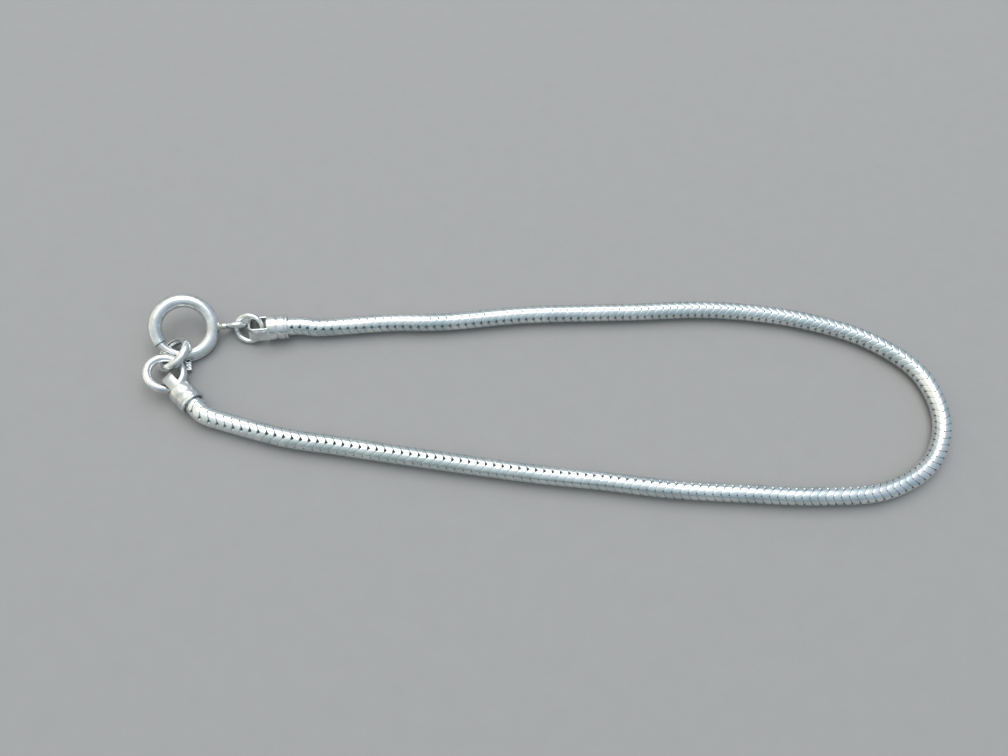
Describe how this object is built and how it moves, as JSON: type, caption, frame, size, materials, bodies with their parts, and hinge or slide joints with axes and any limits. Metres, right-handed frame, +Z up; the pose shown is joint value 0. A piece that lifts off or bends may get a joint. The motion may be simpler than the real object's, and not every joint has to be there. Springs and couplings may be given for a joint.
{
  "type": "bracelet",
  "caption": "Silver snake-chain bracelet, fastened: a ribbed round chain with crimped end caps, jump rings and a spring-ring clasp, lying as a long narrow loop.",
  "frame": {"origin": "on the surface the bracelet lies on, under the middle of its bounding box", "axes": "+Z up, X along the loop's long side with the clasp at -X and the chain's bend at +X, Y across the loop"},
  "size_m": [0.0952, 0.0264, 0.0044],
  "materials": {
    "fitting_silver": "polished silver, lightly worn",
    "chain_silver": "polished silver links with darker seams"
  },
  "bodies": {
    "bracelet": {"bolt_ring": "fitting_silver", "thin_jump_ring": "fitting_silver", "upper_end_cap": "fitting_silver", "snake_chain": "chain_silver", "lower_end_cap": "fitting_silver", "link_ring": "fitting_silver", "large_jump_ring": "fitting_silver"},
    "bolt": {"clasp_bolt": "fitting_silver"}
  },
  "joints": [
    {"name": "bolt_slide", "type": "hinge", "parent": "bracelet", "child": "bolt", "pos_m": [-0.04379, 0.00359, 0.0022], "axis": [0.2372, -0.3871, 0.891], "range_deg": [0, 50], "stiffness_Nm_per_rad": 0.0005}
  ]
}
